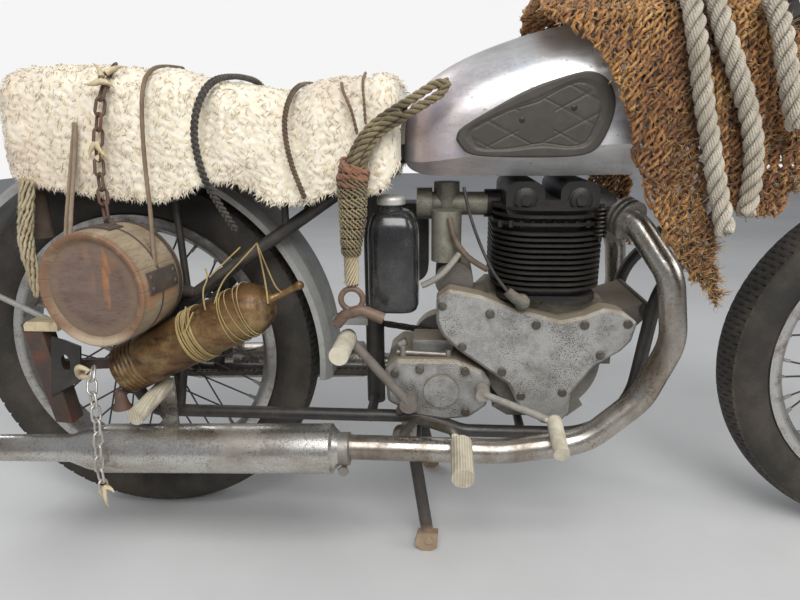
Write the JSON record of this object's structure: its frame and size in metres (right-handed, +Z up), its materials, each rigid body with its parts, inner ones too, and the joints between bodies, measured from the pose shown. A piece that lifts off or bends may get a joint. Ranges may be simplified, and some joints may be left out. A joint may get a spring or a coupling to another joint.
{
  "type": "vintage twin-cylinder motorcycle",
  "caption": "Vintage parallel-twin motorcycle on its centre stand, with a fleece seat, net, ropes, drum canteen and bottle; wheels roll, fork steers, stand folds",
  "frame": {"origin": "on the floor, midway between the foremost point of the front tyre and the tail lamp, in the middle plane", "axes": "+X ahead, towards the front wheel; +Y to the rider's left; +Z up from the floor"},
  "size_m": [2.1119, 0.7296, 1.0462],
  "materials": {
    "tyre": "matt, dusty",
    "wheel_steel": "pitted bright rim, dull spokes and hub",
    "frame_paint": "old gloss, dusty",
    "dull_steel": "dull, oxidised",
    "fork_alloy": "dull",
    "worn_chrome": "stained",
    "aged_rubber": "aged, matt",
    "bone_rubber": "perished, cream",
    "pitted_alloy": "pitted, oiled",
    "black_iron": "dusty black",
    "bare_steel": "bare, burnished and heat tinted",
    "black_gloss": "gloss, dusty",
    "oiled_chain": "oiled",
    "pale_steel": "weathered pale grey",
    "lamp_red": "faded red",
    "wool": "curly cream wool",
    "rusty_iron": "rusted",
    "drum_wood": "weathered",
    "old_brass": "tarnished",
    "coir": "coarse fibre",
    "rope_fibre": "frayed, dusty",
    "brown_cloth": "worn"
  },
  "bodies": {
    "chassis": {"frame_spine": "frame_paint", "frame_cradle_right": "frame_paint", "frame_cradle_left": "frame_paint", "frame_stay_right": "frame_paint", "frame_stay_left": "frame_paint", "rear_axle": "dull_steel", "stand_bracket": "dull_steel", "crankcase": "pitted_alloy", "engine_mount": "dull_steel", "barrel": "black_iron", "cylinder_head": "black_iron", "timing_cover": "pitted_alloy", "gearbox": "pitted_alloy", "primary_case": "pitted_alloy", "magneto": "fork_alloy", "carburettor": "fork_alloy", "tank": "bare_steel", "knee_pads": "aged_rubber", "oil_tank": "black_gloss", "tool_box": "black_gloss", "exhaust_right": "worn_chrome", "silencer_right": "worn_chrome", "exhaust_left": "worn_chrome", "kickstart": "dull_steel", "gear_lever": "dull_steel", "footrests": "bone_rubber", "pillion_rests": "bone_rubber", "drive_chain": "oiled_chain", "rear_mudguard": "pale_steel", "tail_lamp": "lamp_red", "seat_pan": "frame_paint", "fleece": "wool", "carrier_leg": "rusty_iron", "drum": "drum_wood", "bottle": "old_brass", "wrapped_roll": "brown_cloth", "hook_ring": "rusty_iron", "coir_net": "coir", "braid": "rope_fibre", "rope_a": "rope_fibre", "rope_b": "rope_fibre", "frayed_rope": "rope_fibre", "drum_chain": "rusty_iron"},
    "steering": {"fork_yokes": "frame_paint", "fork_legs": "fork_alloy", "front_axle": "dull_steel", "handlebar": "worn_chrome", "grips": "aged_rubber", "headlamp": "frame_paint"},
    "front_wheel": {"front_wheel": "wheel_steel", "front_tyre": "tyre"},
    "rear_wheel": {"rear_wheel": "wheel_steel", "rear_tyre": "tyre"},
    "centre_stand": {"centre_stand": "frame_paint"}
  },
  "joints": [
    {"name": "steer", "type": "hinge", "parent": "chassis", "child": "steering", "pos_m": [0.83, 0, 0], "axis": [-0.454, 0, 0.891], "range_deg": [-35, 35]},
    {"name": "front_wheel_spin", "type": "hinge", "parent": "steering", "child": "front_wheel", "pos_m": [0.73, 0, 0.326], "axis": [0, 1, 0], "continuous": true},
    {"name": "rear_wheel_spin", "type": "hinge", "parent": "chassis", "child": "rear_wheel", "pos_m": [-0.661, 0, 0.332], "axis": [0, 1, 0], "continuous": true},
    {"name": "stand_fold", "type": "hinge", "parent": "chassis", "child": "centre_stand", "pos_m": [-0.156, 0, 0.213], "axis": [0, 1, 0], "range_deg": [0, 85]}
  ]
}
